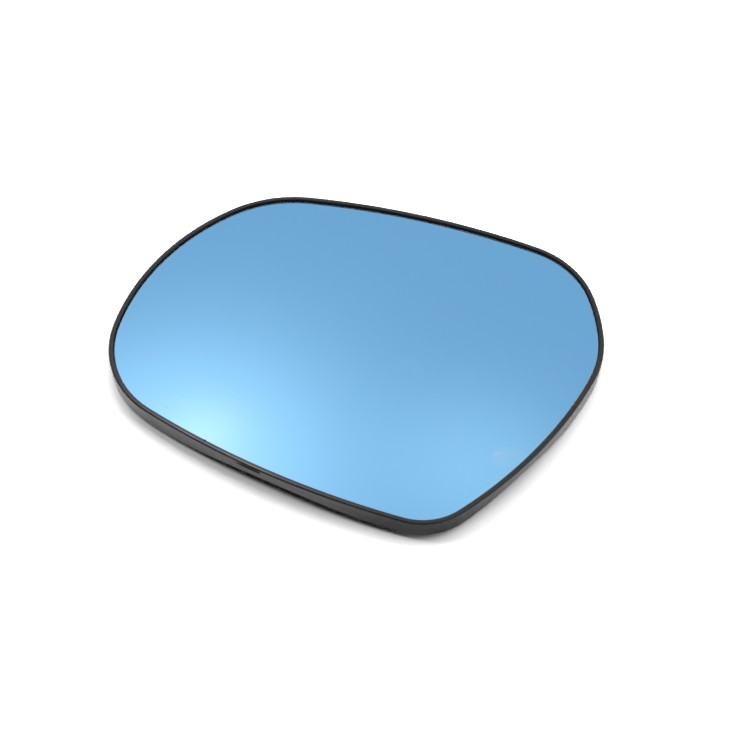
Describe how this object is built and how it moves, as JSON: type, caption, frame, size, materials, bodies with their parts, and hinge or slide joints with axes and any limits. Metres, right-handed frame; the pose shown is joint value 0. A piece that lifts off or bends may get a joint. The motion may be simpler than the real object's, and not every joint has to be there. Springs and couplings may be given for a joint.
{
  "type": "car door mirror glass",
  "caption": "Convex blue-tinted door mirror glass bonded with a heating film into a moulded black backing plate, with a snap ring, ribs and blade terminals on the back.",
  "frame": {"origin": "on the axis of the snap ring, at the level of its tips, which the part rests on when it lies face up", "axes": "+Z out of the glass along the ring's axis, +Y up in use, +X towards the car, so this is the left-hand glass"},
  "size_m": [0.185, 0.1489, 0.014],
  "materials": {
    "blue_mirror": "blue anti-glare reflector, polished",
    "heater_foil": "dark polyester film with printed tracks",
    "black_plastic": "satin black with a fine moulded grain",
    "tinned_brass": "dull tin plate"
  },
  "bodies": {
    "root": {"mirror_glass": "blue_mirror", "heater_film": "heater_foil", "backing_plate": "black_plastic", "heater_terminal_outer": "tinned_brass", "heater_terminal_inner": "tinned_brass"}
  },
  "joints": []
}
